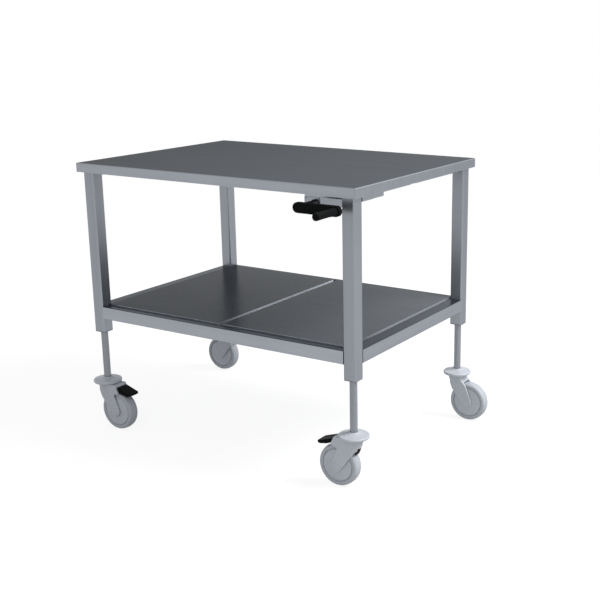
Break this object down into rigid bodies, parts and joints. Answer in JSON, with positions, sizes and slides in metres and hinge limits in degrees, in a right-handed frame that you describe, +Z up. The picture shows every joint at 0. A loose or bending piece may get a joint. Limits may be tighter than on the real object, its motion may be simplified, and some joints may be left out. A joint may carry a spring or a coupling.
{
  "type": "instrument cart",
  "caption": "Stainless instrument table with a lower shelf, hand-cranked telescopic legs and swivel castors, two of them with foot brakes.",
  "frame": {"origin": "on the floor, straight below the middle of the worktop", "axes": "+Z up, +X along the worktop's long side towards the crank's corner, +Y from the crank's side towards the back"},
  "size_m": [1.151, 0.844, 0.855],
  "materials": {
    "worktop": "satin",
    "steel_tube": "satin",
    "shelf_sheet": "satin",
    "inner_steel": "satin",
    "rod_steel": "polished",
    "fastener": "satin",
    "pump_alloy": "satin",
    "pipe_line": "satin",
    "bush_plastic": "matte",
    "castor_plastic": "satin",
    "wheel_tread": "matte",
    "black_plastic": "satin"
  },
  "bodies": {
    "cart_frame": {"table_top": "worktop", "top_channels": "inner_steel", "leg_plates": "inner_steel", "leg_plate_bolts": "fastener", "leg_bushes": "bush_plastic", "leg_set_screws": "fastener", "shelf_rail_front": "steel_tube", "shelf_rail_back": "steel_tube", "shelf_rail_left": "steel_tube", "shelf_rail_right": "steel_tube", "shelf_cross_bar": "steel_tube", "shelf_ledges": "steel_tube", "shelf_panel_left": "shelf_sheet", "shelf_panel_right": "shelf_sheet", "pump_bracket": "inner_steel", "pump_housing": "pump_alloy", "pump_front_cover": "pump_alloy", "pump_cover_screws": "fastener", "hydraulic_pipes": "pipe_line", "pipe_fittings": "fastener", "leg_front_left": "steel_tube", "leg_front_right": "steel_tube", "leg_back_left": "steel_tube", "leg_back_right": "steel_tube", "lift_cylinder_front_left": "inner_steel", "lift_cylinder_front_right": "inner_steel", "lift_cylinder_back_left": "inner_steel", "lift_cylinder_back_right": "inner_steel"},
    "crank": {"crank_spindle": "rod_steel", "crank_arm": "black_plastic", "grip_pin": "rod_steel"},
    "grip": {"crank_grip": "black_plastic"},
    "pump_drive": {"pump_carriage": "pump_alloy", "pump_plungers": "rod_steel"},
    "foot_front_left": {"lift_rod_front_left": "rod_steel", "castor_disc_front_left": "castor_plastic"},
    "castor_front_left": {"castor_fork_front_left": "castor_plastic", "castor_axle_front_left": "rod_steel"},
    "wheel_front_left": {"wheel_hub_front_left": "castor_plastic", "wheel_tyre_front_left": "wheel_tread"},
    "brake_front_left": {"brake_pedal_front_left": "black_plastic"},
    "foot_front_right": {"lift_rod_front_right": "rod_steel", "castor_disc_front_right": "castor_plastic"},
    "castor_front_right": {"castor_fork_front_right": "castor_plastic", "castor_axle_front_right": "rod_steel"},
    "wheel_front_right": {"wheel_hub_front_right": "castor_plastic", "wheel_tyre_front_right": "wheel_tread"},
    "brake_front_right": {"brake_pedal_front_right": "black_plastic"},
    "foot_back_left": {"lift_rod_back_left": "rod_steel", "castor_disc_back_left": "castor_plastic"},
    "castor_back_left": {"castor_fork_back_left": "castor_plastic", "castor_axle_back_left": "rod_steel"},
    "wheel_back_left": {"wheel_hub_back_left": "castor_plastic", "wheel_tyre_back_left": "wheel_tread"},
    "foot_back_right": {"lift_rod_back_right": "rod_steel", "castor_disc_back_right": "castor_plastic"},
    "castor_back_right": {"castor_fork_back_right": "castor_plastic", "castor_axle_back_right": "rod_steel"},
    "wheel_back_right": {"wheel_hub_back_right": "castor_plastic", "wheel_tyre_back_right": "wheel_tread"}
  },
  "joints": [
    {"name": "crank_turn", "type": "hinge", "parent": "cart_frame", "child": "crank", "pos_m": [0.339, -0.381, 0.796], "axis": [0, 1, 0], "range_deg": [-10367, 11849]},
    {"name": "grip_spin", "type": "hinge", "parent": "crank", "child": "grip", "pos_m": [0.459, -0.435, 0.796], "axis": [0, 1, 0], "continuous": true},
    {"name": "pump_stroke", "type": "slide", "parent": "cart_frame", "child": "pump_drive", "axis": [0, 1, 0], "range_m": [-0.0504, 0.0576]},
    {"name": "lift_front_left", "type": "slide", "parent": "cart_frame", "child": "foot_front_left", "axis": [0, 0, -1], "range_m": [-0.14, 0.16]},
    {"name": "swivel_front_left", "type": "hinge", "parent": "foot_front_left", "child": "castor_front_left", "pos_m": [-0.467, -0.319, 0.15], "axis": [0, 0, 1], "continuous": true},
    {"name": "wheel_spin_front_left", "type": "hinge", "parent": "castor_front_left", "child": "wheel_front_left", "pos_m": [-0.421, -0.319, 0.0625], "axis": [0, 1, 0], "continuous": true},
    {"name": "brake_front_left", "type": "hinge", "parent": "castor_front_left", "child": "brake_front_left", "pos_m": [-0.447, -0.319, 0.132], "axis": [0, 1, 0], "range_deg": [0, 5]},
    {"name": "lift_front_right", "type": "slide", "parent": "cart_frame", "child": "foot_front_right", "axis": [0, 0, -1], "range_m": [-0.14, 0.16]},
    {"name": "swivel_front_right", "type": "hinge", "parent": "foot_front_right", "child": "castor_front_right", "pos_m": [0.467, -0.319, 0.15], "axis": [0, 0, 1], "continuous": true},
    {"name": "wheel_spin_front_right", "type": "hinge", "parent": "castor_front_right", "child": "wheel_front_right", "pos_m": [0.421, -0.319, 0.0625], "axis": [0, 1, 0], "continuous": true},
    {"name": "brake_front_right", "type": "hinge", "parent": "castor_front_right", "child": "brake_front_right", "pos_m": [0.447, -0.319, 0.132], "axis": [0, -1, 0], "range_deg": [0, 5]},
    {"name": "lift_back_left", "type": "slide", "parent": "cart_frame", "child": "foot_back_left", "axis": [0, 0, -1], "range_m": [-0.14, 0.16]},
    {"name": "swivel_back_left", "type": "hinge", "parent": "foot_back_left", "child": "castor_back_left", "pos_m": [-0.467, 0.319, 0.15], "axis": [0, 0, 1], "continuous": true},
    {"name": "wheel_spin_back_left", "type": "hinge", "parent": "castor_back_left", "child": "wheel_back_left", "pos_m": [-0.513, 0.319, 0.0625], "axis": [0, 1, 0], "continuous": true},
    {"name": "lift_back_right", "type": "slide", "parent": "cart_frame", "child": "foot_back_right", "axis": [0, 0, -1], "range_m": [-0.14, 0.16]},
    {"name": "swivel_back_right", "type": "hinge", "parent": "foot_back_right", "child": "castor_back_right", "pos_m": [0.467, 0.319, 0.15], "axis": [0, 0, 1], "continuous": true},
    {"name": "wheel_spin_back_right", "type": "hinge", "parent": "castor_back_right", "child": "wheel_back_right", "pos_m": [0.513, 0.319, 0.0625], "axis": [0, 1, 0], "continuous": true}
  ],
  "couplings": [
    {"joint": "pump_stroke", "follows": "crank_turn", "m_per_rad": 0.00027852},
    {"joint": "lift_front_left", "follows": "crank_turn", "m_per_rad": 0.00077367},
    {"joint": "lift_front_right", "follows": "crank_turn", "m_per_rad": 0.00077367},
    {"joint": "lift_back_left", "follows": "crank_turn", "m_per_rad": 0.00077367},
    {"joint": "lift_back_right", "follows": "crank_turn", "m_per_rad": 0.00077367}
  ]
}
